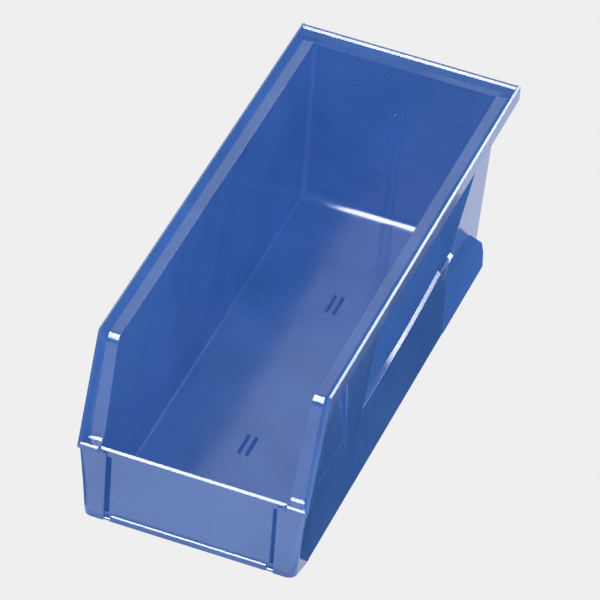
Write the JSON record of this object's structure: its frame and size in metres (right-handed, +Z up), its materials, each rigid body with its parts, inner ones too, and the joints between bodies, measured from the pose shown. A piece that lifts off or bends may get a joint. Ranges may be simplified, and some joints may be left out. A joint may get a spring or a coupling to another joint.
{
  "type": "hanging parts bin",
  "caption": "Long narrow open-topped plastic parts bin with a sloped hopper front, recessed label panel, stacking rims and a rear lip that hangs on louvred panels.",
  "frame": {"origin": "bottom centre of the bin's bounding box, on the surface it stands on", "axes": "+Z up, -Y towards the open hopper front, +Y towards the hanger lip, +X to the right when facing the label panel from the front with +Z up"},
  "size_m": [0.14, 0.34, 0.121],
  "materials": {
    "blue_plastic": "moulded polypropylene, semi-gloss with a fine mottled grain"
  },
  "bodies": {
    "root": {"back_rib_1": "blue_plastic", "back_rib_2": "blue_plastic", "back_wall": "blue_plastic", "card_groove_left": "blue_plastic", "card_groove_right": "blue_plastic", "card_ledge": "blue_plastic", "corner_cap_left": "blue_plastic", "corner_cap_right": "blue_plastic", "corner_post_left": "blue_plastic", "corner_post_right": "blue_plastic", "floor_cove": "blue_plastic", "floor_panel": "blue_plastic", "floor_rib_1": "blue_plastic", "floor_rib_2": "blue_plastic", "floor_rib_3": "blue_plastic", "floor_rib_4": "blue_plastic", "foot_crown_left": "blue_plastic", "foot_crown_right": "blue_plastic", "front_brace_left": "blue_plastic", "front_brace_right": "blue_plastic", "front_cheek_left": "blue_plastic", "front_cheek_right": "blue_plastic", "front_lip": "blue_plastic", "hanger_hook": "blue_plastic", "hanger_lip": "blue_plastic", "hopper_ledge_left": "blue_plastic", "hopper_ledge_right": "blue_plastic", "hopper_upstand_left": "blue_plastic", "hopper_upstand_right": "blue_plastic", "label_panel": "blue_plastic", "lower_skirt_left": "blue_plastic", "lower_skirt_right": "blue_plastic", "rear_foot_left": "blue_plastic", "rear_foot_right": "blue_plastic", "rim_upstand_left": "blue_plastic", "rim_upstand_right": "blue_plastic", "side_panel_left": "blue_plastic", "side_panel_right": "blue_plastic", "side_wall_left": "blue_plastic", "side_wall_right": "blue_plastic", "skirt_ledge_left": "blue_plastic", "skirt_ledge_right": "blue_plastic", "stacking_ledge_left": "blue_plastic", "stacking_ledge_right": "blue_plastic"}
  },
  "joints": []
}
